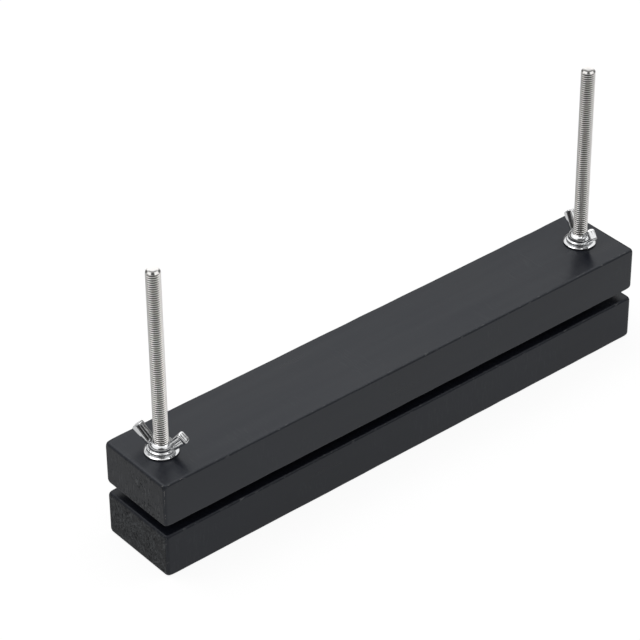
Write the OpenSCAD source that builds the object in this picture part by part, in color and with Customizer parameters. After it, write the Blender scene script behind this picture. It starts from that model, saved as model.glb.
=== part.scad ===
// Book press: two equal wooden bars on two upright bolts, drawn together by wing nuts.
// X runs along the bars and Z points up. The origin is at the middle of the lower bar's underside.

/* [Bars] */
// Length of each bar
bar_length = 250; // [120:1:400]
// Depth of each bar, front to back
bar_depth = 38; // [20:1:80]
// Height of each bar
bar_height = 20; // [14:0.5:40]
// Radius of the eased edges of the bars
bar_edge_radius = 1; // [0.3:0.1:3]
// Gap between the two bars
press_gap = 4.7; // [0.5:0.1:40]

/* [Bolts] */
// Distance of each bolt from its end of the bars
bolt_inset = 13.5; // [10:0.5:40]
// Length of each bolt under its head
bolt_length = 120; // [100:5:160]
// Outer diameter of the thread
thread_diameter = 6; // [5:0.5:7]
// Rise of the thread in one turn
thread_pitch = 1; // [0.7:0.05:1.5]
// Depth of the thread
thread_depth = 0.6; // [0.3:0.05:0.8]
// Width of the flat on each thread's crest
thread_crest = 0.15; // [0.1:0.01:0.25]
// Size of the chamfer at the bolt's free end
bolt_chamfer = 0.8; // [0.3:0.1:1.5]
// Length of the plain neck between the head and the thread
bolt_neck = 2; // [1:0.5:6]
// Width of the hexagonal head across its flats
head_width = 10; // [8.5:0.5:13]
// Height of the hexagonal head
head_height = 4; // [2.5:0.5:6]

/* [Holes in the bars] */
// Clearance all round the bolt in the lower bar, which holds it upright
snug_clearance = 0.1; // [0.02:0.02:0.4]
// Clearance all round the bolt in the upper bar, which slides on it
slide_clearance = 0.4; // [0.2:0.05:1]
// Diameter of the recess under the lower bar that takes a bolt's head
recess_diameter = 15; // [15:0.5:19]
// Depth of the recess under the lower bar
recess_depth = 10.9; // [7:0.1:12]

/* [Sunk washers] */
// Outer diameter of the washer under a bolt's head
sunk_washer_diameter = 12; // [10:0.5:14]
// Thickness of the washer under a bolt's head
sunk_washer_thickness = 1.6; // [0.8:0.1:2.5]

/* [Top washers] */
// Outer diameter of the washer under a wing nut
top_washer_diameter = 14; // [12:0.5:18]
// Thickness of the washer under a wing nut
top_washer_thickness = 1; // [0.8:0.1:2.5]
// Clearance all round the bolt in every washer
washer_clearance = 0.2; // [0.1:0.05:0.6]

/* [Wing nuts] */
// Running clearance all round the bolt in a wing nut
nut_clearance = 0.05; // [0.02:0.01:0.1]
// Height of a wing nut's hub
hub_height = 3.8; // [3.6:0.1:5]
// Diameter of the hub's foot
hub_foot_diameter = 11.6; // [11:0.1:12.4]
// Height of the upright rim of the hub's foot
hub_foot_height = 0.8; // [0.4:0.1:1.1]
// Diameter of the hub above its foot
hub_waist_diameter = 10; // [9.4:0.1:10.4]
// Diameter of the hub at its top
hub_top_diameter = 9; // [8.6:0.1:9.3]
// Size of the chamfer round the hub's top
hub_chamfer = 0.3; // [0.1:0.1:0.5]
// Size of the countersink at the top of the hub's bore
hub_countersink = 0.4; // [0.1:0.1:0.5]
// Distance between the outermost points of the two wings
wing_span = 24.5; // [22:0.1:28]
// Height of the wings' highest points over the washer
wing_top_height = 10.7; // [10:0.1:13]
// Angle at which each wing rises
wing_rise = 46.5; // [42:0.5:52]
// Angle by which each edge of a wing spreads from its rise
wing_flare = 2.5; // [0:0.5:4]
// Width of a wing at its end, across its rise
wing_width = 5; // [4.6:0.1:5.6]
// Thickness of the block at the end of a wing
wing_tip_thickness = 3.3; // [3:0.1:4]
// Length of the block at the end of a wing, along its rise
wing_tip_length = 1.8; // [1:0.1:3]
// Corner radius of the block at the end of a wing
wing_tip_radius = 1.1; // [0.5:0.1:1.4]
// Width of the thick rail along a wing's lower side
wing_rail_width = 2.3; // [1.8:0.1:2.8]
// Thickness of the thin web beside the rail
wing_web_thickness = 1.8; // [1.2:0.1:2.2]
// How far the plain side of a wing is set back from the end block
wing_set_back = 0.6; // [0.3:0.1:0.8]
// Width of the ridge along a wing's upper side
wing_ridge_width = 0.6; // [0.4:0.1:0.8]
// Height of the ridge along a wing's upper side
wing_ridge_height = 0.25; // [0.1:0.05:0.3]
// Angle of the left nut's wings, turned from the X axis
left_wing_angle = -65; // [-180:1:180]
// Angle of the right nut's wings, turned from the X axis
right_wing_angle = -105; // [-180:1:180]

/* [Hidden] */
$fn = 64;
// Overrun of every cut past the face that it leaves
overrun = 1;
// Share of the head's height that its chamfer takes
head_chamfer_share = 0.12;
// Corner radius of the rail and the web, as a share of the web's thickness
wing_corner_share = 0.2;

bolt_x = bar_length / 2 - bolt_inset;
upper_bar_z = bar_height + press_gap;
upper_bar_top = upper_bar_z + bar_height;
crest_radius = thread_diameter / 2;
root_radius = crest_radius - thread_depth;
seat_z = recess_depth - sunk_washer_thickness;
bolt_end_z = seat_z + bolt_length;
nut_z = upper_bar_top + top_washer_thickness;
washer_bore_radius = crest_radius + washer_clearance;
nut_bore_radius = crest_radius + nut_clearance;
flank = (thread_pitch - thread_crest) / 2;
thread_turns = floor((bolt_length - bolt_neck) / thread_pitch);
thread_start_z = bolt_end_z - thread_turns * thread_pitch;
wing_low_x = wing_span / 2;
wing_low_z = wing_top_height - wing_width * cos(wing_rise);
wing_length = (wing_low_z - hub_foot_height) / sin(wing_rise - wing_flare);
wing_plain_side = -wing_tip_thickness / 2 + wing_set_back;
wing_corner = wing_web_thickness * wing_corner_share;

// Radius that the chamfer at the bolt's end leaves at a height
function chamfered(radius, z) = min(radius, crest_radius - bolt_chamfer + bolt_end_z - z);

// Outline points of one ring of the thread, from its root up to the next root
function thread_ring(z) = [
    [chamfered(root_radius, z), z],
    [chamfered(crest_radius, z + flank), z + flank],
    [chamfered(crest_radius, z + flank + thread_crest), z + flank + thread_crest]
];

module rounded_rectangle(width, height, radius) {
    square([width - 2 * radius, height], center = true);
    square([width, height - 2 * radius], center = true);
    for (side = [-1, 1], end = [-1, 1])
        translate([side * (width / 2 - radius), end * (height / 2 - radius)])
            circle(r = radius);
}

// A bar with all its edges eased, standing on its underside
module bar_blank() {
    translate([0, 0, bar_height / 2])
        intersection() {
            linear_extrude(bar_height, center = true)
                rounded_rectangle(bar_length, bar_depth, bar_edge_radius);
            rotate([90, 0, 0])
                linear_extrude(bar_depth, center = true)
                    rounded_rectangle(bar_length, bar_height, bar_edge_radius);
            rotate([90, 0, 90])
                linear_extrude(bar_length, center = true)
                    rounded_rectangle(bar_depth, bar_height, bar_edge_radius);
        }
}

module lower_bar() {
    color("#26272a")
        difference() {
            bar_blank();
            for (side = [-1, 1])
                translate([side * bolt_x, 0, -overrun]) {
                    cylinder(r = crest_radius + snug_clearance, h = bar_height + 2 * overrun);
                    cylinder(d = recess_diameter, h = recess_depth + overrun);
                }
        }
}

module upper_bar() {
    color("#303134")
        translate([0, 0, upper_bar_z])
            difference() {
                bar_blank();
                for (side = [-1, 1])
                    translate([side * bolt_x, 0, -overrun])
                        cylinder(r = crest_radius + slide_clearance, h = bar_height + 2 * overrun);
            }
}

// The hexagonal head, with its corners chamfered below
module bolt_head() {
    chamfer = head_height * head_chamfer_share;
    corner_radius = head_width / 2 / cos(30);
    translate([0, 0, seat_z - head_height])
        intersection() {
            cylinder(r = corner_radius, h = head_height, $fn = 6);
            union() {
                cylinder(r1 = head_width / 2, r2 = corner_radius, h = chamfer);
                translate([0, 0, chamfer])
                    cylinder(r = corner_radius, h = head_height - chamfer);
            }
        }
}

// The threaded shank, its thread drawn as rings
module bolt_shank() {
    rotate_extrude()
        polygon([
            [0, seat_z - head_height / 2],
            [root_radius, seat_z - head_height / 2],
            for (turn = [0:thread_turns - 1]) each thread_ring(thread_start_z + turn * thread_pitch),
            [chamfered(root_radius, bolt_end_z), bolt_end_z],
            [0, bolt_end_z]
        ]);
}

module bolt(side) {
    color("#b9b9b6")
        translate([side * bolt_x, 0, 0]) {
            bolt_head();
            bolt_shank();
        }
}

module left_bolt() {
    bolt(-1);
}

module right_bolt() {
    bolt(1);
}

module washer(side, z, diameter, thickness) {
    color("#cdcdca")
        translate([side * bolt_x, 0, z])
            difference() {
                cylinder(d = diameter, h = thickness);
                translate([0, 0, -overrun])
                    cylinder(r = washer_bore_radius, h = thickness + 2 * overrun);
            }
}

module left_bolt_washer() {
    washer(-1, seat_z, sunk_washer_diameter, sunk_washer_thickness);
}

module right_bolt_washer() {
    washer(1, seat_z, sunk_washer_diameter, sunk_washer_thickness);
}

module left_washer() {
    washer(-1, upper_bar_top, top_washer_diameter, top_washer_thickness);
}

module right_washer() {
    washer(1, upper_bar_top, top_washer_diameter, top_washer_thickness);
}

module hub() {
    foot_slope = (hub_foot_diameter - hub_waist_diameter) / 2;
    rotate_extrude()
        polygon([
            [0, 0],
            [hub_foot_diameter / 2, 0],
            [hub_foot_diameter / 2, hub_foot_height],
            [hub_waist_diameter / 2, hub_foot_height + foot_slope],
            [hub_top_diameter / 2, hub_height - hub_chamfer],
            [hub_top_diameter / 2 - hub_chamfer, hub_height],
            [0, hub_height]
        ]);
}

// The bore of a wing nut, with its countersink, carried on up between the wings
module nut_bore() {
    countersunk_radius = nut_bore_radius + hub_countersink;
    translate([0, 0, -overrun])
        cylinder(r = nut_bore_radius, h = hub_height + overrun);
    translate([0, 0, hub_height - hub_countersink])
        cylinder(r1 = nut_bore_radius, r2 = countersunk_radius, h = hub_countersink);
    translate([0, 0, hub_height])
        cylinder(r = countersunk_radius, h = wing_top_height);
}

// Part of a wing: a rounded bar that runs back from the end, between two thicknesses and two widths
module wing_bar(length, low_side, high_side, low_edge, high_edge, radius) {
    translate([-length, (low_side + high_side) / 2, (low_edge + high_edge) / 2])
        rotate([90, 0, 90])
            linear_extrude(length)
                rounded_rectangle(high_side - low_side, high_edge - low_edge, radius);
}

// A wing with a thick lower rail, a thin web with a ridge at its upper edge, and a block at its end
module wing() {
    web_side = wing_plain_side + wing_web_thickness;
    web_low = wing_rail_width / 2 - wing_width;
    translate([wing_low_x, 0, wing_low_z])
        rotate([0, -wing_rise, 0]) {
            wing_bar(wing_tip_length, -wing_tip_thickness / 2, wing_tip_thickness / 2,
                0, wing_width, wing_tip_radius);
            rotate([0, wing_flare, 0])
                wing_bar(wing_length, wing_plain_side, wing_tip_thickness / 2,
                    0, wing_rail_width, wing_corner);
            translate([0, 0, wing_width])
                rotate([0, -wing_flare, 0]) {
                    wing_bar(wing_length, wing_plain_side, web_side, web_low, 0, wing_corner);
                    wing_bar(wing_length, wing_plain_side, web_side + wing_ridge_height,
                        -wing_ridge_width, 0, wing_ridge_height / 2);
                }
        }
}

module wing_nut(side, angle) {
    color("#d6d6d3")
        translate([side * bolt_x, 0, nut_z])
            rotate([0, 0, angle])
                difference() {
                    union() {
                        hub();
                        for (half_turn = [0, 180])
                            rotate([0, 0, half_turn])
                                wing();
                    }
                    nut_bore();
                }
}

module left_wing_nut() {
    wing_nut(-1, left_wing_angle);
}

module right_wing_nut() {
    wing_nut(1, right_wing_angle);
}

lower_bar();
upper_bar();
left_bolt();
right_bolt();
left_bolt_washer();
right_bolt_washer();
left_washer();
right_washer();
left_wing_nut();
right_wing_nut();
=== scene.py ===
import math

import bmesh
import bpy
import numpy as np
from mathutils import Matrix, Vector, noise

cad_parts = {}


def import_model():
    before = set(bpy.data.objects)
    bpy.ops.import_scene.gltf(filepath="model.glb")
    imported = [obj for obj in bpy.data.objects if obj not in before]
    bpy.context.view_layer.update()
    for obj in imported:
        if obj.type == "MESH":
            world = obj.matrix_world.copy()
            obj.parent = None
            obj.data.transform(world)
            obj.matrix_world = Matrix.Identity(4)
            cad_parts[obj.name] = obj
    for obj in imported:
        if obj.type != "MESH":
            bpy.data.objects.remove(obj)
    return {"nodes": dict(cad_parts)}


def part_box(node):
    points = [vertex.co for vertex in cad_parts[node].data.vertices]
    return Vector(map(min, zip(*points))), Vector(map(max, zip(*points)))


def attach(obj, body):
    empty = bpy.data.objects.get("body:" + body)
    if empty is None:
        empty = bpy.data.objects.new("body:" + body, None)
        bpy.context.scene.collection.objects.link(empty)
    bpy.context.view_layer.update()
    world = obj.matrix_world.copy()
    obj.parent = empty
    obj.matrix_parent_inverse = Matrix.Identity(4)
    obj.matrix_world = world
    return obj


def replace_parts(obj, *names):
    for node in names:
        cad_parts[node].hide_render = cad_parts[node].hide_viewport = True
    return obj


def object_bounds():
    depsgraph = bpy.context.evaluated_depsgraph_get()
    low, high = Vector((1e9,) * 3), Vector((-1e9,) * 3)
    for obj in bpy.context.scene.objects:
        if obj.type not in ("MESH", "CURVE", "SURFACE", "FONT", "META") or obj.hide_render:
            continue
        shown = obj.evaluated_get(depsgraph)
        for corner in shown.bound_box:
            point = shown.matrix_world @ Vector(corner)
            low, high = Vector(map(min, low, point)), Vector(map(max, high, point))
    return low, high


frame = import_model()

CAD_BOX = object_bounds()
MM = 0.001
BOXES = {node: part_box(node) for node in frame["nodes"]}
AXES = {}
for side in ("left", "right"):
    centre = sum(BOXES[f"{side}_bolt"], Vector()) / 2
    AXES[side] = Vector((centre.x, centre.y, 0))

BAR_EDGE = 1.0 * MM
END_EDGE = 1.25 * MM
# How much rounder the bars' long edges get at the ends, over what length, and how uneven they are all along
CORNER_GAIN = 1.1
CORNER_REACH = 3.5 * MM
EDGE_UNEVEN = 0.28
# The least share of a long edge's rounding that is left where a bar's end is eased inwards
LEAST_ROUNDING = 0.12
CREST_RADIUS = 3.0 * MM
ROOT_RADIUS = 2.4 * MM
PITCH = 1.0 * MM
BOLT_CHAMFER = 0.8 * MM
BOLT_NECK = 2.0 * MM
HEAD_HEIGHT = 4.0 * MM
HEAD_WIDTH = 10.0 * MM
WASHER_BORE = 3.2 * MM
SLIDE_BORE = 3.4 * MM
SNUG_BORE = 3.1 * MM
RECESS_RADIUS = 7.5 * MM
RECESS_DEPTH = 10.9 * MM
# The lower bar's top lies this much low, so the bars' faces don't share a plane when the press is shut
FACE_RELIEF = 0.015 * MM
# A slightly cool sheen on the black paint
PAINT_TINT = (0.92, 0.96, 1.0, 1)


# Node helpers

class Graph:
    """A material's node tree, with short calls to add and join nodes."""

    def __init__(self, name):
        self.material = bpy.data.materials.new(name)
        self.material.use_nodes = True
        self.tree = self.material.node_tree
        self.tree.nodes.clear()
        self.output = self.add("OutputMaterial")

    def add(self, kind, settings=None, **inputs):
        node = self.tree.nodes.new("ShaderNode" + kind)
        for key, value in (settings or {}).items():
            setattr(node, key, value)
        for key, value in inputs.items():
            self.put(node, key.replace("_", " "), value)
        return node

    def put(self, node, key, value):
        """Sets or links an input, given by its name or, as in n3, by its number."""
        socket = node.inputs[int(key[1:])] if key[0] == "n" and key[1:].isdigit() else node.inputs[key]
        if isinstance(value, bpy.types.NodeSocket):
            self.tree.links.new(value, socket)
        else:
            socket.default_value = value

    def coordinates(self, scale=(1, 1, 1), turn=(0, 0, 0)):
        place = self.add("TexCoord").outputs["Object"]
        if any(turn):
            place = self.add("Mapping", n0=place, n2=turn).outputs[0]
        return self.add("Mapping", n0=place, n3=scale).outputs[0]

    def noise(self, scale, stretch=(1, 1, 1), detail=3.0, roughness=0.5, turn=(0, 0, 0)):
        place = self.coordinates(stretch, turn)
        node = self.add("TexNoise", Vector=place, Scale=scale, Detail=detail, Roughness=roughness)
        return node.outputs["Fac"]

    def remap(self, value, low, high, out_low=0.0, out_high=1.0):
        limits = {"n1": low, "n2": high, "n3": out_low, "n4": out_high}
        return self.add("MapRange", {"clamp": True}, n0=value, **limits).outputs[0]

    def math(self, operation, a, b):
        return self.add("Math", {"operation": operation}, n0=a, n1=b).outputs[0]

    def mix(self, factor, a, b):
        node = self.add("Mix", {"data_type": "RGBA"})
        self.put(node, "n0", factor)
        self.put(node, "n6", a)
        self.put(node, "n7", b)
        return node.outputs[2]

    def bump(self, height, strength, distance, normal=None):
        node = self.add("Bump", Strength=strength, Distance=distance, Height=height)
        if normal is not None:
            self.put(node, "Normal", normal)
        return node.outputs[0]

    def surface(self, **inputs):
        shader = self.add("BsdfPrincipled", **inputs)
        self.tree.links.new(shader.outputs[0], self.output.inputs[0])
        return self.material


def grey(value, blue=0.0):
    """A grey, shifted towards blue by a share of itself."""
    return (value * (1 - blue), value, value * (1 + blue), 1)


# Materials

def chip_mask(g, chips):
    """Small bare places in the paint, each a point, a radius and how far it is drawn out along each axis."""
    ragged = g.remap(g.noise(2300, detail=3), 0.32, 0.68, 0.15, 1.45)
    total = None
    for point, radius, drawn in chips:
        squeeze = [1 / d for d in drawn]
        place = g.coordinates(squeeze)
        target = [p * s for p, s in zip(point, squeeze)]
        gap = g.add("VectorMath", {"operation": "DISTANCE"}, n0=place, n1=target).outputs["Value"]
        reach = g.math("MULTIPLY", ragged, radius)
        inside = g.math("LESS_THAN", gap, reach)
        total = inside if total is None else g.math("MAXIMUM", total, inside)
    return total


def painted_wood(name, chips, gloss):
    """Satin black paint over planed wood: faint lengthwise grain, cutter marks and worn edges."""
    g = Graph(name)
    grain = g.noise(220, (0.06, 1, 1), detail=4, roughness=0.6)
    marks = g.noise(150, (1, 0.1, 0.12), detail=2)
    cloud = g.noise(22, detail=2)
    speck = g.noise(1500, detail=2)
    edge = g.add("Attribute", {"attribute_name": "edge"}).outputs["Fac"]
    worn = g.math("MULTIPLY", edge, g.remap(g.noise(900, (0.35, 1, 1), detail=3), 0.60, 0.72))
    paint = g.mix(g.remap(cloud, 0.3, 0.7), (0.0100, 0.0115, 0.0172, 1), (0.0128, 0.0147, 0.0220, 1))
    chatter = g.remap(g.noise(1200, (1, 0.12, 0.16), detail=3, roughness=0.6), 0.54, 0.64)
    patch = g.remap(g.noise(40, detail=2), 0.50, 0.62)
    paint = g.mix(g.math("MULTIPLY", g.math("MULTIPLY", chatter, patch), 0.32), paint, grey(0.040, 0.12))
    paint = g.mix(g.math("MULTIPLY", worn, 0.55), paint, grey(0.16, 0.02))
    if chips:
        paint = g.mix(chip_mask(g, chips), paint, grey(0.16, -0.02))
    rough = g.math("ADD", g.remap(grain, 0.3, 0.7, 0.28, 0.35), g.remap(cloud, 0.3, 0.7, -0.02, 0.03))
    rough = g.math("ADD", rough, g.math("MULTIPLY", edge, 0.17))
    normal = g.bump(grain, 0.10, 0.0002)
    normal = g.bump(marks, 0.05, 0.0003, normal)
    normal = g.bump(speck, 0.05, 0.00006, normal)
    return g.surface(Base_Color=paint, Roughness=rough, Specular_IOR_Level=gloss,
                     Specular_Tint=PAINT_TINT, Normal=normal)


def painted_end_grain(name, coarse):
    """The same paint on sawn end grain: pores darkened with painted shade, upright cracks and, where coarse,
    slanting saw marks, both raised and lightened with painted highlights.
    """
    g = Graph(name)
    cracks = g.noise(1050, (1, 1, 0.22), detail=3, roughness=0.6)
    pores = g.noise(1500, (1, 1, 0.6), detail=3, roughness=0.6)
    across = g.add("SeparateXYZ", n0=g.coordinates()).outputs["Y"]
    patch = g.remap(g.noise(85, detail=2), 0.40, 0.58, 0.25, 1.0)
    patch = g.math("MULTIPLY", patch, g.remap(across, 0.013, 0.005, 0.8 if coarse else 0.3, 1.0))
    cloud = g.noise(30, detail=2)
    dark, light = ((0.0038, 0.0044, 0.0060, 1), (0.0062, 0.0071, 0.0092, 1)) if coarse else (
        (0.0080, 0.0090, 0.0125, 1), (0.0115, 0.0128, 0.0175, 1))
    paint = g.mix(g.remap(cloud, 0.3, 0.7), dark, light)
    raised_highlight = g.math("MULTIPLY", g.remap(cracks, 0.56, 0.66), patch)
    shaded_pore = g.math("MULTIPLY", g.remap(pores, 0.54, 0.66), patch)
    if coarse:
        left_saw = g.noise(1500, (1, 0.30, 1), detail=3, turn=(0.7, 0, 0))
        right_saw = g.noise(1500, (1, 0.30, 1), detail=3, turn=(-0.9, 0, 0))
        saw = g.math("MAXIMUM", g.remap(left_saw, 0.54, 0.64), g.remap(right_saw, 0.54, 0.64))
        raised_highlight = g.math("MAXIMUM", raised_highlight, saw)
    # Painted highlight: the raised cracks and saw marks are lightened, besides their real relief in the bump
    paint = g.mix(g.math("MULTIPLY", raised_highlight, 0.85), paint, grey(0.072, 0.08))
    # Painted shade: the open pores are darkened to near black
    paint = g.mix(shaded_pore, paint, (0.002, 0.002, 0.0025, 1))
    rough = g.math("ADD", g.remap(cracks, 0.3, 0.7, 0.46, 0.40), g.math("MULTIPLY", shaded_pore, 0.40))
    height = g.math("SUBTRACT", g.math("MULTIPLY", raised_highlight, 0.6), shaded_pore)
    normal = g.bump(height, 0.60, 0.00020)
    gloss = 0.20 if coarse else 0.36
    return g.surface(Base_Color=paint, Roughness=rough, Specular_IOR_Level=gloss,
                     Specular_Tint=PAINT_TINT, Normal=normal)


def bare_wood(name):
    """Thinly painted inside of the holes."""
    g = Graph(name)
    pores = g.noise(900, (1, 1, 0.2), detail=4)
    colour = g.mix(g.remap(pores, 0.35, 0.65), (0.010, 0.009, 0.008, 1), (0.030, 0.024, 0.019, 1))
    return g.surface(Base_Color=colour, Roughness=0.75, Normal=g.bump(pores, 0.5, 0.0003))


def thread_steel(name):
    """Rolled stainless thread: a warm grey metal, duller down in its grooves and darkened there with painted
    shade.
    """
    g = Graph(name)
    groove = g.add("Attribute", {"attribute_name": "groove"}).outputs["Fac"]
    lines = g.noise(2200, (0.25, 0.25, 1), detail=2)
    stain = g.noise(160, detail=3)
    turned = g.add("Attribute", {"attribute_name": "turned"}).outputs["Fac"]
    colour = g.mix(g.remap(stain, 0.3, 0.7), (0.88, 0.865, 0.845, 1), (0.94, 0.930, 0.910, 1))
    # Painted shade: the thread's grooves are darkened to near black
    colour = g.mix(g.remap(groove, 0.31, 0.62), colour, (0.075, 0.067, 0.056, 1))
    rough = g.math("ADD", g.remap(lines, 0.3, 0.7, 0.28, 0.34), g.remap(groove, 0.4, 1.0, 0.0, 0.15))
    rough = g.math("SUBTRACT", rough, g.math("MULTIPLY", turned, 0.20))
    normal = g.bump(lines, 0.06, 0.00003)
    return g.surface(Base_Color=colour, Metallic=1.0, Roughness=rough, Normal=normal)


def plated_steel(name, tone, rough_low, rough_high, ripple, tumbled):
    """Bright plated steel: slow ripples in the face, fine tumbling marks, a slightly uneven gloss and, in
    the wing's hollow, painted shade.
    """
    g = Graph(name)
    wave = g.noise(330, detail=2)
    fine = g.noise(2400, (1, 1, 0.4), detail=4, roughness=0.6)
    cloud = g.noise(260, detail=3)
    recess = g.add("Attribute", {"attribute_name": "recess"}).outputs["Fac"]
    colour = g.mix(g.remap(cloud, 0.3, 0.7), grey(tone, 0.01), grey(tone + 0.08, 0.01))
    # Painted shade: the hollow on the wings' rail side is darkened
    colour = g.mix(recess, colour, (0.25, 0.25, 0.255, 1))
    rough = g.remap(fine, 0.3, 0.7, rough_low, rough_high)
    rough = g.math("ADD", rough, g.remap(cloud, 0.35, 0.7, -0.02, 0.04))
    rough = g.math("ADD", rough, g.math("MULTIPLY", recess, 0.20))
    normal = g.bump(wave, ripple, 0.0005)
    normal = g.bump(fine, tumbled, 0.00005, normal)
    return g.surface(Base_Color=colour, Metallic=1.0, Roughness=rough, Normal=normal)


def sheared_shaded_steel(name):
    """The washers' cut edge: a dull steel with fine lines from the die, darkened with painted shade and a
    painted dark reflection of the bar beneath.
    """
    g = Graph(name)
    lines = g.noise(1800, (1, 1, 0.15), detail=3)
    # Painted shade and painted reflection: the edge's steel is made dark
    colour = g.mix(g.remap(lines, 0.3, 0.7), (0.15, 0.15, 0.155, 1), (0.24, 0.24, 0.245, 1))
    rough = g.remap(lines, 0.3, 0.7, 0.34, 0.46)
    return g.surface(Base_Color=colour, Metallic=1.0, Roughness=rough, Normal=g.bump(lines, 0.3, 0.00004))


# Mesh helpers

def mesh_object(name, vertices, faces, materials, smooth_angle=35):
    mesh = bpy.data.meshes.new(name)
    mesh.from_pydata([tuple(v) for v in vertices], [], [tuple(f) for f in faces])
    mesh.validate()
    obj = bpy.data.objects.new(name, mesh)
    bpy.context.scene.collection.objects.link(obj)
    for material in materials:
        mesh.materials.append(material)
    clean = bmesh.new()
    clean.from_mesh(mesh)
    bmesh.ops.remove_doubles(clean, verts=clean.verts, dist=1e-7)
    bmesh.ops.recalc_face_normals(clean, faces=clean.faces)
    clean.to_mesh(mesh)
    clean.free()
    soften(mesh, smooth_angle)
    return obj


def soften(mesh, smooth_angle):
    """Smooth shading that keeps the edges sharper than an angle."""
    mesh.polygons.foreach_set("use_smooth", [True] * len(mesh.polygons))
    mesh.set_sharp_from_angle(angle=math.radians(smooth_angle))


def applied(obj):
    """Replaces an object's mesh with what its modifiers make of it."""
    bpy.context.view_layer.update()
    result = bpy.data.meshes.new_from_object(obj.evaluated_get(bpy.context.evaluated_depsgraph_get()))
    obj.modifiers.clear()
    old = obj.data
    result.name = old.name
    obj.data = result
    bpy.data.meshes.remove(old)
    return obj


def cut(obj, cutters):
    """Takes the cutters out of an object and removes them."""
    for cutter in cutters:
        modifier = obj.modifiers.new("cut", "BOOLEAN")
        modifier.operation = "DIFFERENCE"
        modifier.solver = "EXACT"
        modifier.object = cutter
    applied(obj)
    for cutter in cutters:
        bpy.data.objects.remove(cutter)


def ring_faces(rows, count, closed=False):
    """Faces between rings of points, and from the last ring to the first where closed."""
    faces = []
    for i in range(rows if closed else rows - 1):
        j = (i + 1) % rows
        for k in range(count):
            m = (k + 1) % count
            faces.append((i * count + k, i * count + m, j * count + m, j * count + k))
    return faces


def revolved(profile, segments=96, closed=False):
    """A row of (radius, height) points turned about the z axis. A point on the axis closes the surface."""
    angles = np.arange(segments) * 2 * math.pi / segments
    vertices = [(r * math.cos(a), r * math.sin(a), z) for r, z in profile for a in angles]
    return vertices, ring_faces(len(profile), segments, closed)


def joined(shapes):
    """The vertices and faces of several shapes as one."""
    vertices, faces = [], []
    for more_vertices, more_faces in shapes:
        base = len(vertices)
        vertices += more_vertices
        faces += [tuple(base + i for i in face) for face in more_faces]
    return vertices, faces


def at(vertices, offset):
    return [Vector(v) + Vector(offset) for v in vertices]


def weighted(obj):
    """Shading that follows the large faces, so the eased edges don't tint them."""
    modifier = obj.modifiers.new("weighted", "WEIGHTED_NORMAL")
    modifier.keep_sharp = True
    modifier.weight = 100
    return applied(obj)


# The bars

def bar_ring(half_y, half_z, inset, radii):
    """Points round a bar at one place along it, with how far each lies on a rounded corner."""
    arc = 6
    points, edge = [], []
    corners = [(1, 1, 0), (-1, 1, 90), (-1, -1, 180), (1, -1, 270)]
    rounding = [max(radius - inset, radius * LEAST_ROUNDING) for radius in radii]
    for n, (sy, sz, start) in enumerate(corners):
        radius = rounding[n]
        cy, cz = sy * (half_y - inset - radius), sz * (half_z - inset - radius)
        for k in range(arc):
            a = math.radians(start + 90 * k / (arc - 1))
            points.append((cy + radius * math.cos(a), cz + radius * math.sin(a)))
            edge.append(math.sin(math.pi * k / (arc - 1)) ** 0.5)
        following = corners[(n + 1) % 4]
        next_radius = rounding[(n + 1) % 4]
        end = math.radians(following[2])
        target = (following[0] * (half_y - inset - next_radius) + next_radius * math.cos(end),
                  following[1] * (half_z - inset - next_radius) + next_radius * math.sin(end))
        steps = 5 if n % 2 == 0 else 3
        last = points[-1]
        for k in range(1, steps):
            share = k / steps
            points.append((last[0] + (target[0] - last[0]) * share, last[1] + (target[1] - last[1]) * share))
            edge.append(0.0)
    return points, edge


def edge_share(x, corner, seed):
    """The rounding of a long edge at one place along the bar, as a share of its mean."""
    return 1 + EDGE_UNEVEN * noise.noise(Vector((x * 90, corner * 7.3, seed)))


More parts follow.
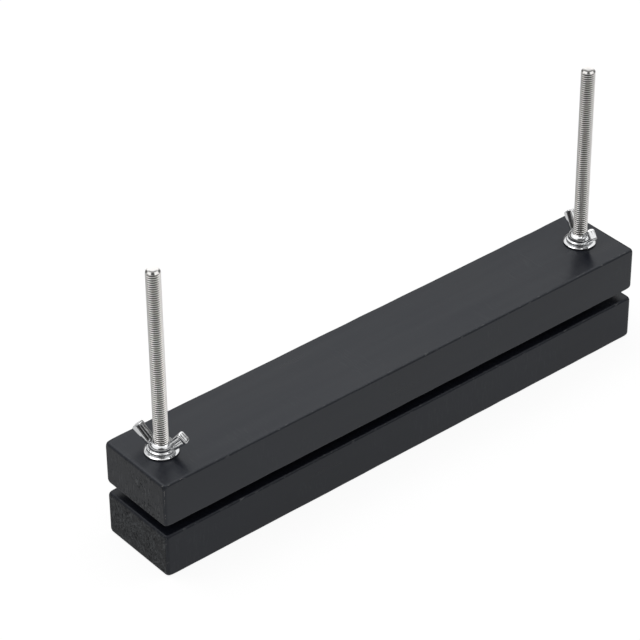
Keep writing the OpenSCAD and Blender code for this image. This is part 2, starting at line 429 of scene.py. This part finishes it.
def bar(name, node, seed, bore, recessed, materials):
    """A bar with slightly uneven eased edges and drilled holes."""
    low, high = (end.copy() for end in BOXES[node])
    if recessed:
        high.z -= FACE_RELIEF
    middle = (low + high) / 2
    half = (high - low) / 2
    stations = []
    turn = 6
    for k in range(turn):
        a = math.pi / 2 * k / (turn - 1)
        stations.append((-half.x + END_EDGE * (1 - math.cos(a)), END_EDGE * (1 - math.sin(a))))
    inner = half.x - END_EDGE
    count = 84
    near_end = [inner - 0.5 * MM, inner - 1.1 * MM]
    stations += [(-x, 0.0) for x in near_end]
    stations += [(-inner + 2 * inner * k / count, 0.0) for k in range(1, count)]
    stations += [(x, 0.0) for x in reversed(near_end)]
    stations += [(-x, inset) for x, inset in reversed(stations[:turn])]
    vertices, edges = [], []
    for x, inset in stations:
        gain = 1 + CORNER_GAIN * max(0.0, 1 - (half.x - abs(x)) / CORNER_REACH) ** 2
        radii = [gain * BAR_EDGE * edge_share(x, n, seed) for n in range(4)]
        ring, edge = bar_ring(half.y, half.z, inset, radii)
        vertices += [(middle.x + x, middle.y + y, middle.z + z) for y, z in ring]
        edges += [max(e, min(1.0, inset / END_EDGE * 2)) for e in edge]
    size = len(ring)
    faces = ring_faces(len(stations), size)
    faces.append(tuple(range(size)))
    faces.append(tuple((len(stations) - 1) * size + k for k in reversed(range(size))))
    obj = mesh_object(name, vertices, faces, materials)
    attribute = obj.data.attributes.new("edge", "FLOAT", "POINT")
    lookup = {tuple(round(c, 7) for c in v): e for v, e in zip(vertices, edges)}
    for k, v in enumerate(obj.data.vertices):
        attribute.data[k].value = lookup.get(tuple(round(c, 7) for c in v.co), 0.0)
    cutters = []
    for side in ("left", "right"):
        axis = AXES[side]
        over = 2 * MM
        profile = [(0, -over), (bore, -over), (bore, half.z * 2 + over), (0, half.z * 2 + over)]
        if recessed:
            profile = [(0, -over), (RECESS_RADIUS, -over), (RECESS_RADIUS, RECESS_DEPTH),
                       (bore, RECESS_DEPTH), (bore, half.z * 2 + over), (0, half.z * 2 + over)]
        v, f = revolved(profile, 72)
        cutters.append(mesh_object("cutter", at(v, (axis.x, axis.y, low.z)), f, [materials[2]]))
    cut(obj, cutters)
    slots = [0] * len(obj.data.polygons)
    for k, polygon in enumerate(obj.data.polygons):
        to_end = half.x - abs(polygon.center.x - middle.x)
        to_axis = min((polygon.center.xy - axis.xy).length for axis in AXES.values())
        if abs(polygon.normal.x) > 0.9 and to_end < 0.3 * MM:
            slots[k] = 1
        elif to_axis < RECESS_RADIUS + 0.01 * MM and abs(polygon.normal.z) < 0.5:
            slots[k] = 2
    obj.data.polygons.foreach_set("material_index", slots)
    soften(obj.data, 35)
    weighted(obj)
    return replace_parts(obj, node)


# The bolts

# One turn's section from groove to groove, as (share of the pitch, share of the depth)
THREAD = [(0.00, 0.00), (0.10, 0.03), (0.27, 0.50), (0.42, 0.95),
          (0.50, 1.00), (0.58, 0.95), (0.73, 0.50), (0.90, 0.03)]


def bolt(side, material):
    """A hexagon bolt with a real helical thread, which runs out into the chamfer at its end."""
    name = f"{side}_bolt"
    low, high = BOXES[name]
    axis = AXES[side]
    columns, rows = 48, len(THREAD)
    start = low.z + HEAD_HEIGHT + BOLT_NECK
    turns = int((high.z - start) / PITCH) + 2
    vertices = []
    for j in range(-rows, turns * rows):
        share, rise = THREAD[j % rows]
        whole = j // rows
        for k in range(columns):
            a = 2 * math.pi * k / columns
            z = start + PITCH * (whole + share + k / columns)
            close = min(1.0, max(0.0, 1 - (high.z - BOLT_CHAMFER - z) / (0.35 * PITCH)))
            rise_here = rise + (1 - rise) * close
            radius = ROOT_RADIUS + (CREST_RADIUS - ROOT_RADIUS) * rise_here
            fade = min(1.0, max(0.0, (z - start) / PITCH))
            radius = ROOT_RADIUS + (radius - ROOT_RADIUS) * fade
            z = min(max(z, start), high.z)
            radius = min(radius, CREST_RADIUS - BOLT_CHAMFER + (high.z - z))
            vertices.append((radius * math.cos(a), radius * math.sin(a), z))
    total = len(vertices) // columns
    faces = []
    for j in range(total - 1):
        for k in range(columns - 1):
            here, above = j * columns + k, (j + 1) * columns + k
            faces.append((here, here + 1, above + 1, above))
        if j + rows + 1 < total:
            here, onward = (j + 1) * columns - 1, (j + rows) * columns
            faces.append((here, onward, onward + columns, here + columns))
    tip = CREST_RADIUS - BOLT_CHAMFER
    dish = high.z - 0.07 * MM
    disc = revolved([(tip, high.z), (tip * 0.93, high.z), (tip * 0.82, high.z - 0.05 * MM),
                     (tip * 0.4, dish), (0, dish)], columns)
    neck = revolved([(ROOT_RADIUS, start), (ROOT_RADIUS, low.z + HEAD_HEIGHT)], columns)
    vertices, faces = joined([(vertices, faces), disc, neck, bolt_head(low.z)])
    obj = mesh_object(f"{side}_bolt_steel", at(vertices, axis), faces, [material], 32)
    groove = obj.data.attributes.new("groove", "FLOAT", "POINT")
    turned = obj.data.attributes.new("turned", "FLOAT", "POINT")
    for k, v in enumerate(obj.data.vertices):
        depth = (CREST_RADIUS - (v.co.xy - axis.xy).length) / (CREST_RADIUS - ROOT_RADIUS)
        threaded = start < v.co.z < high.z - BOLT_CHAMFER
        groove.data[k].value = max(0.0, depth) if threaded else 0.0
        turned.data[k].value = 1.0 if v.co.z > high.z - BOLT_CHAMFER * 0.95 else 0.0
    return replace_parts(obj, name)


def bolt_head(low_z):
    """The hexagonal head, with the round chamfer that turning leaves on its corners."""
    columns = 96
    vertices = []
    face_radius = HEAD_WIDTH / 2 * 0.95
    rings = [(0.0, 0), (0.72, 0), (0.95, 0), (1.0, 1), (1.0, 2), (0.66, 3)]
    for share, row in rings:
        for k in range(columns):
            a = 2 * math.pi * k / columns
            flat = (a + math.pi / 6) % (math.pi / 3) - math.pi / 6
            hexagon = HEAD_WIDTH / 2 / math.cos(flat - math.copysign(math.pi / 6, flat))
            if row == 0:
                radius, z = face_radius * share / 0.95, low_z + (0.12 * MM if share < 0.9 else 0)
            elif row == 1:
                radius = hexagon
                z = low_z + (hexagon - face_radius) * math.tan(math.radians(30))
            elif row == 2:
                radius, z = hexagon, low_z + HEAD_HEIGHT
            else:
                radius, z = ROOT_RADIUS, low_z + HEAD_HEIGHT
            vertices.append((radius * math.cos(a), radius * math.sin(a), z))
    return vertices, ring_faces(len(rings), columns)


# The washers

def washer(node, materials):
    """A stamped washer: its rim falls away above, over a sheared wall and a sharp lower edge."""
    low, high = BOXES[node]
    middle = (low + high) / 2
    outer, thick = (high.x - low.x) / 2, high.z - low.z
    roll = 0.16 * thick
    inner = WASHER_BORE
    fall = 0.34 * thick
    profile = [(inner, 0.1 * thick), (inner, thick - roll), (inner + 0.3 * roll, thick - 0.3 * roll),
               (inner + roll, thick)]
    for share in (0, 0.25, 0.45, 0.62, 0.76, 0.87, 0.95, 1):
        profile.append((outer - 1.5 * thick * (1 - share), thick - fall * share ** 2.6))
    profile += [(outer, 0.08 * thick), (outer - 0.06 * thick, 0), (inner + 0.1 * thick, 0)]
    v, f = revolved(profile, 128, closed=True)
    obj = mesh_object(f"{node}_steel", at(v, (middle.x, middle.y, low.z)), f, materials, 30)
    # The lower wall gets the darkened edge steel: painted shade and a painted reflection of the bar
    for polygon in obj.data.polygons:
        reach = (polygon.center.xy - middle.xy).length
        if reach > outer - 0.05 * thick and abs(polygon.normal.z) < 0.7 and polygon.center.z < high.z - fall:
            polygon.material_index = 1
    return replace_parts(obj, node)


# The wing nuts

# The wing nuts' sizes are in millimetres. The hub is a row of (radius, height) points
HUB = [(0, 0), (5.55, 0), (5.74, 0.05), (5.8, 0.16), (5.8, 0.90), (5.76, 1.04), (5.62, 1.14), (5.3, 1.20),
       (5.02, 1.27), (4.95, 1.40), (4.95, 2.15), (4.92, 2.40), (4.82, 2.68), (4.66, 2.94), (4.45, 3.16),
       (4.20, 3.36), (3.95, 3.54), (3.7, 3.69), (3.5, 3.8), (0, 3.8)]
HUB_HEIGHT = 3.8
NUT_BORE = 3.05
COUNTERSINK = 0.4
WING_SPAN = 24.5
WING_TOP = 10.7
WING_RISE = 46.5
WING_FLARE = 2.5
WING_WIDTH = 5.0
WING_THICK = 3.3
WING_FOOT = 0.8
TIP_LENGTH = 1.8
# Outline of a wing at its end, as (across, up) points: a plain side with two rims, the rail, the channel
WING_SECTION = [(0.40, 5.00), (-0.55, 5.00), (-0.80, 4.88), (-0.90, 4.62), (-0.86, 4.34), (-0.46, 4.14),
                (-0.42, 3.90), (-0.62, 3.22), (-0.94, 3.04), (-0.98, 2.80), (-0.68, 2.58), (-0.70, 2.46),
                (-0.90, 1.86), (-1.30, 1.64), (-1.46, 1.20), (-1.56, 0.80), (-1.56, 0.40), (-1.42, 0.12),
                (-1.10, 0.00), (1.25, 0.00), (1.58, 0.18), (1.65, 0.60), (1.62, 1.60), (1.55, 2.45),
                (1.30, 2.82), (0.34, 2.98), (0.22, 3.30), (0.32, 3.85), (0.36, 4.20), (0.60, 4.42),
                (0.66, 4.74), (0.55, 4.94)]
# On the rail side, how much lower the rail's top is at the hub
RAIL_FALL = 0.8
# How dull the rail side is, and how much it is darkened with painted shade, at heights above the rail's top
SHADE_AND_DULLNESS = [(-0.35, 0.0), (-0.15, 1.0), (0.25, 1.0), (0.45, 0.35), (1.05, 0.35),
            (1.20, 1.0), (1.50, 1.0), (1.65, 0.55), (2.10, 0.55)]
RAIL_TOP = 2.85
# That side's hollow: its start behind the wing's end, the share of the wing it reaches, its range across
HOLLOW_START = 0.85
HOLLOW_SHARE = 0.86
HOLLOW_ACROSS = (0.05, 1.30)
# How far a wing's end curves back at its edges, and the rounding of its long edges
WING_END = 0.45
WING_CORNER = 1.0


def corner_ring(low, high, bottom, top, radius, inset):
    """Points of a rounded rectangle, drawn in by an inset."""
    points = []
    radius = max(radius - inset, 0.15)
    low, high, bottom, top = low + inset, high - inset, bottom + inset, top - inset
    for cy, cz, start in ((high, top, 0), (low, top, 90), (low, bottom, 180), (high, bottom, 270)):
        for step in range(6):
            a = math.radians(start + 90 * step / 5)
            middle_y = cy - radius * (1 if cy == high else -1)
            middle_z = cz - radius * (1 if cz == top else -1)
            points.append((middle_y + radius * math.cos(a), middle_z + radius * math.sin(a)))
    return points


def capped(rows, count):
    """Faces between rings of points, with a face at either end."""
    ends = [tuple(reversed(range(count))), tuple(range((rows - 1) * count, rows * count))]
    return ring_faces(rows, count) + ends


def tip_block(length, low, high, matrix):
    """The block at a wing's end, with well rounded long edges and a softer end."""
    rings = [(0, 0.42), (0.11, 0.16), (0.36, 0), (length - 0.3, 0), (length - 0.08, 0.14), (length, 0.34)]
    vertices = []
    for back, inset in rings:
        for y, z in corner_ring(low, high, 0, WING_WIDTH, WING_CORNER, inset):
            curve = WING_END * (2 * z / WING_WIDTH - 1) ** 2 * (1 - back / TIP_LENGTH)
            vertices.append(matrix @ Vector((-back - curve, y, z)))
    return vertices, capped(len(rings), len(vertices) // len(rings))


def wing_blade(length, matrix):
    """The wing's section carried back from its end to the hub, a little narrower there."""
    vertices = []
    for back in (0.5, length):
        narrow = 1 - 2 * back * math.tan(math.radians(WING_FLARE)) / WING_WIDTH
        fall = RAIL_FALL * back / length
        for y, z in WING_SECTION:
            shift = fall * np.interp(z, (1.2, 2.3, 3.0, 4.3), (0, 1, 1, 0)) if y > 0.1 else 0
            height = WING_WIDTH / 2 + (z - shift - WING_WIDTH / 2) * narrow
            vertices.append(matrix @ Vector((-back, y, height)))
    return vertices, capped(2, len(WING_SECTION))


def wing_frame(turn):
    """A wing's own axes: x along it and outwards from its end, y across, z up its width."""
    rise = math.radians(WING_RISE)
    low_z = WING_TOP - WING_WIDTH * math.cos(rise)
    end = Matrix.Translation((WING_SPAN / 2, 0, low_z))
    return Matrix.Rotation(turn, 4, "Z") @ end @ Matrix.Rotation(-rise, 4, "Y")


def wing_length():
    """How far a wing runs from its end to where it is lost in the hub's foot."""
    rise = math.radians(WING_RISE)
    return (WING_TOP - WING_WIDTH * math.cos(rise) - WING_FOOT) / math.sin(rise - math.radians(WING_FLARE))


def wing_parts(turn):
    """The parts of one wing: its blade, and the block at its end that overhangs the plain side."""
    frame_at = wing_frame(turn)
    length = wing_length()
    half = WING_THICK / 2
    return [
        wing_blade(length, frame_at),
        tip_block(TIP_LENGTH, -half, 0.5, frame_at),
        tip_block(TIP_LENGTH * 0.42, -half, half, frame_at),
    ]


def mark_recess(obj, place):
    """Stores how far each point lies in the hollow on a wing's rail side, where the plating is duller and
    darkened with painted shade.
    """
    count = len(obj.data.vertices)
    points = np.empty(count * 3)
    obj.data.vertices.foreach_get("co", points)
    points = np.c_[points.reshape(-1, 3), np.ones(count)]
    heights, levels = zip(*SHADE_AND_DULLNESS)
    value = np.zeros(count)
    for turn in (0, math.pi):
        local = points @ np.array((place @ wing_frame(turn)).inverted()).T
        along = (local[:, 0] < -HOLLOW_START) & (local[:, 0] > -wing_length() * HOLLOW_SHARE)
        inside = along & (local[:, 1] > HOLLOW_ACROSS[0]) & (local[:, 1] < HOLLOW_ACROSS[1])
        narrow = 1 + 2 * local[:, 0] * math.tan(math.radians(WING_FLARE)) / WING_WIDTH
        height = WING_WIDTH / 2 + (local[:, 2] - WING_WIDTH / 2) / np.maximum(narrow, 0.4)
        rail = RAIL_TOP - RAIL_FALL * np.clip(-local[:, 0] / wing_length(), 0, 1)
        level = np.interp(height - rail, heights, levels, left=0.0, right=0.0)
        value = np.maximum(value, np.where(inside, level, 0.0))
    attribute = obj.data.attributes.new("recess", "FLOAT", "POINT")
    attribute.data.foreach_set("value", value)


def wing_nut(side, angle, material):
    """A cold-formed wing nut: its parts run into each other with small soft fillets."""
    node = f"{side}_wing_nut"
    low, high = BOXES[node]
    axis = AXES[side]
    vertices, faces = joined([revolved(HUB), *wing_parts(0), *wing_parts(math.pi)])
    spin = Matrix.Rotation(math.radians(angle), 4, "Z")
    place = Matrix.Translation((axis.x, axis.y, low.z)) @ spin @ Matrix.Scale(MM, 4)
    obj = mesh_object(f"{side}_wing_nut_steel", [place @ Vector(v) for v in vertices], faces, [material])
    remesh = obj.modifiers.new("melt", "REMESH")
    remesh.mode = "VOXEL"
    remesh.voxel_size = 0.12 * MM
    remesh.use_smooth_shade = True
    smooth = obj.modifiers.new("soften", "SMOOTH")
    smooth.factor = 0.5
    smooth.iterations = 3
    applied(obj)
    wide = NUT_BORE + COUNTERSINK
    entry = NUT_BORE + 0.25
    v, f = revolved([(0, -1), (entry, -1), (entry, 0.02), (NUT_BORE, 0.3),
                     (NUT_BORE, HUB_HEIGHT - COUNTERSINK), (wide, HUB_HEIGHT), (wide + 0.05, 12), (0, 12)])
    cutter = mesh_object("cutter", [place @ Vector(p) for p in v], f, [material])
    cut(obj, [cutter])
    soften(obj.data, 50)
    mark_recess(obj, place)
    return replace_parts(obj, node)


# Stage, light and camera

def floor():
    """A pale floor, white to the camera, grey to reflections, and open under the part to show that side."""
    g = Graph("floor_white")
    path = g.add("LightPath")
    plain = g.add("BsdfDiffuse", Color=(0.80, 0.80, 0.80, 1))
    faint = g.add("BsdfDiffuse", Color=(0.20, 0.20, 0.20, 1))
    bright = g.add("Emission", Color=(1, 1, 1, 1), Strength=0.90)
    depth = g.add("SeparateXYZ", n0=g.coordinates()).outputs["Y"]
    dull = g.add("Emission", Color=(1, 1, 1, 1), Strength=g.remap(depth, 0.05, 0.25, 0.50, 0.62))
    shown = g.add("AddShader", n0=faint.outputs[0], n1=bright.outputs[0])
    mirrored = g.add("AddShader", n0=faint.outputs[0], n1=dull.outputs[0])
    glossy = g.math("MAXIMUM", path.outputs["Is Glossy Ray"], path.outputs["Is Transmission Ray"])
    first = g.add("MixShader", n0=glossy, n1=plain.outputs[0], n2=mirrored.outputs[0])
    second = g.add("MixShader", n0=path.outputs["Is Camera Ray"], n1=first.outputs[0], n2=shown.outputs[0])
    g.tree.links.new(second.outputs[0], g.output.inputs[0])
    reach, inset = 4.0, 1.5 * MM
    low, high = BOXES["lower_bar"]
    xs = (-reach, low.x + inset, high.x - inset, reach)
    ys = (-reach, low.y + inset, high.y - inset, reach)
    vertices = [(x, y, 0) for y in ys for x in xs]
    cells = [4 * j + i for j in range(3) for i in range(3) if (i, j) != (1, 1)]
    faces = [(k, k + 1, k + 5, k + 4) for k in cells]
    obj = mesh_object("studio_floor", vertices, faces, [g.material])


def area_light(name, place, aim, size, power):
    data = bpy.data.lights.new(name, "AREA")
    data.shape = "RECTANGLE"
    data.size, data.size_y = size
    data.energy = power
    obj = bpy.data.objects.new(name, data)
    obj.location = place
    obj.rotation_euler = (Vector(aim) - Vector(place)).to_track_quat("-Z", "Y").to_euler()
    bpy.context.scene.collection.objects.link(obj)


def world():
    """A white studio, and in reflections bright behind the object, dim at the viewer's side and low down."""
    scene_world = bpy.data.worlds.new("studio")
    bpy.context.scene.world = scene_world
    scene_world.use_nodes = True
    tree = scene_world.node_tree
    tree.nodes.clear()

    def add(kind, **settings):
        node = tree.nodes.new("ShaderNode" + kind)
        for key, value in settings.items():
            setattr(node, key, value)
        return node

    def zone(towards, near, far, inside, outside):
        """A value that fades from one side of the room to the rest, by the angle to a direction."""
        facing = add("VectorMath", operation="DOT_PRODUCT")
        facing.inputs[1].default_value = Vector(towards).normalized()
        tree.links.new(direction.outputs["Generated"], facing.inputs[0])
        fade = add("MapRange", interpolation_type="SMOOTHSTEP")
        for k, value in enumerate((far, near, outside, inside)):
            fade.inputs[k + 1].default_value = value
        tree.links.new(facing.outputs["Value"], fade.inputs[0])
        return fade.outputs[0]

    path = add("LightPath")
    direction = add("TexCoord")
    behind = zone((0.704, 0.505, 0.50), 0.95, 0.72, 1.40, 1.20)
    viewer = zone((-0.45, -0.55, 0.70), 0.945, 0.885, 0.10, 1.0)
    horizon = zone((0, 0, 1), 0.56, 0.40, 1.0, 0.13)
    sides = add("Math", operation="MULTIPLY")
    tree.links.new(behind, sides.inputs[0])
    tree.links.new(viewer, sides.inputs[1])
    level = add("Math", operation="MULTIPLY")
    tree.links.new(sides.outputs[0], level.inputs[0])
    tree.links.new(horizon, level.inputs[1])
    below = zone((0, 0, -1), 0.30, 0.05, 0.60, 0.0)
    whole = add("Math", operation="MAXIMUM")
    tree.links.new(level.outputs[0], whole.inputs[0])
    tree.links.new(below, whole.inputs[1])
    gloss = add("Background")
    tree.links.new(whole.outputs[0], gloss.inputs["Strength"])
    soft = add("Background")
    soft.inputs["Strength"].default_value = 0.50
    white = add("Background")
    white.inputs["Color"].default_value = (1, 1, 1, 1)
    white.inputs["Strength"].default_value = 1.0
    mirrored = add("Math", operation="MAXIMUM")
    tree.links.new(path.outputs["Is Glossy Ray"], mirrored.inputs[0])
    tree.links.new(path.outputs["Is Transmission Ray"], mirrored.inputs[1])
    first = add("MixShader")
    tree.links.new(mirrored.outputs[0], first.inputs[0])
    tree.links.new(soft.outputs[0], first.inputs[1])
    tree.links.new(gloss.outputs[0], first.inputs[2])
    second = add("MixShader")
    tree.links.new(path.outputs["Is Camera Ray"], second.inputs[0])
    tree.links.new(first.outputs[0], second.inputs[1])
    tree.links.new(white.outputs[0], second.inputs[2])
    output = add("OutputWorld")
    tree.links.new(second.outputs[0], output.inputs[0])


# The photograph's view, found from the bars' edges: azimuth, elevation and roll in degrees, then metres
VIEW_ANGLES = (-39.40, 35.34, -0.60)
VIEW_AIM = Vector((-31.58, 0.22, 69.46)) * MM
VIEW_DISTANCE = 1166.5 * MM
# The lens that shows the part at the photograph's size, for a sensor 36 mm wide
VIEW_LENS = 166.06


def camera():
    azimuth, elevation, roll = (math.radians(a) for a in VIEW_ANGLES)
    flat = Vector((math.sin(azimuth), -math.cos(azimuth), 0))
    back = math.cos(elevation) * flat + Vector((0, 0, math.sin(elevation)))
    flat_right = (-back).cross(Vector((0, 0, 1))).normalized()
    flat_up = flat_right.cross(-back)
    right = math.cos(roll) * flat_right + math.sin(roll) * flat_up
    up = -math.sin(roll) * flat_right + math.cos(roll) * flat_up
    place = VIEW_AIM + back * VIEW_DISTANCE
    data = bpy.data.cameras.new("photo_camera")
    data.sensor_fit = "HORIZONTAL"
    data.sensor_width = 36
    data.lens = VIEW_LENS
    data.clip_end = 20
    obj = bpy.data.objects.new("photo_camera", data)
    rotation = Matrix((right, up, back)).transposed()
    obj.matrix_world = Matrix.Translation(place) @ rotation.to_4x4()
    bpy.context.scene.collection.objects.link(obj)
    bpy.context.scene.camera = obj


# Putting it together

upper_grain = painted_end_grain("upper_end_grain", False)
lower_grain = painted_end_grain("lower_end_grain", True)
hole_wood = bare_wood("hole_wood")
# Chips at the upper bar's near corner, as (place from the corner in mm, radius in mm, how far drawn out)
CHIPS = [
    ((0.36, 0.95, -0.32), 0.26, (1, 4.0, 1)),
    ((2.6, 0.28, -0.28), 0.14, (6, 1, 1)),
    ((0.38, 0.38, -0.4), 0.24, (1, 1, 1)),
    ((8.2, 0.25, -0.1), 0.3, (1, 1, 1)),
    ((9.0, 0.2, -0.1), 0.25, (1.5, 1, 1)),
    ((0.42, 0.42, -3.4), 0.20, (1, 1, 8)),
    ((0.42, 0.42, -7.4), 0.15, (1, 1, 9)),
    ((0.42, 0.42, -14.5), 0.12, (1, 1, 12)),
]
corner = Vector((CAD_BOX[0].x, CAD_BOX[0].y, BOXES["upper_bar"][1].z))
upper_chips = [(corner + Vector(place) * MM, radius * MM, drawn) for place, radius, drawn in CHIPS]
upper_paint = painted_wood("upper_bar_paint", upper_chips, 0.51)
lower_paint = painted_wood("lower_bar_paint", [], 0.38)
bolt_metal = thread_steel("thread_steel")
nut_metal = plated_steel("wing_nut_steel", 0.82, 0.06, 0.12, 0.32, 0.12)
washer_face = plated_steel("washer_steel", 0.72, 0.07, 0.12, 0.08, 0.04)
washer_metals = [washer_face, sheared_shaded_steel("washer_edge_steel")]

lower_finish = [lower_paint, lower_grain, hole_wood]
upper_finish = [upper_paint, upper_grain, hole_wood]
lower = bar("lower_bar_wood", "lower_bar", 3.1, SNUG_BORE, True, lower_finish)
upper = bar("upper_bar_wood", "upper_bar", 8.6, SLIDE_BORE, False, upper_finish)
for piece, body in ((lower, "base"), (upper, "upper_bar")):
    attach(piece, body)
for side, angle in (("left", -65), ("right", -105)):
    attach(bolt(side, bolt_metal), "base")
    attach(washer(f"{side}_bolt_washer", washer_metals), "base")
    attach(washer(f"{side}_washer", washer_metals), "upper_bar")
    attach(wing_nut(side, angle, nut_metal), f"{side}_wing_nut")

floor()
world()
area_light("left_soft_box", (-0.42, 0.68, 1.86), (0, 0, 0.05), (0.80, 0.80), 6.0)
area_light("right_soft_box", (0.50, -0.16, 1.22), (0, 0, 0.05), (0.60, 0.60), 1.3)
camera()

view = bpy.context.scene.view_settings
view.view_transform = "Standard"
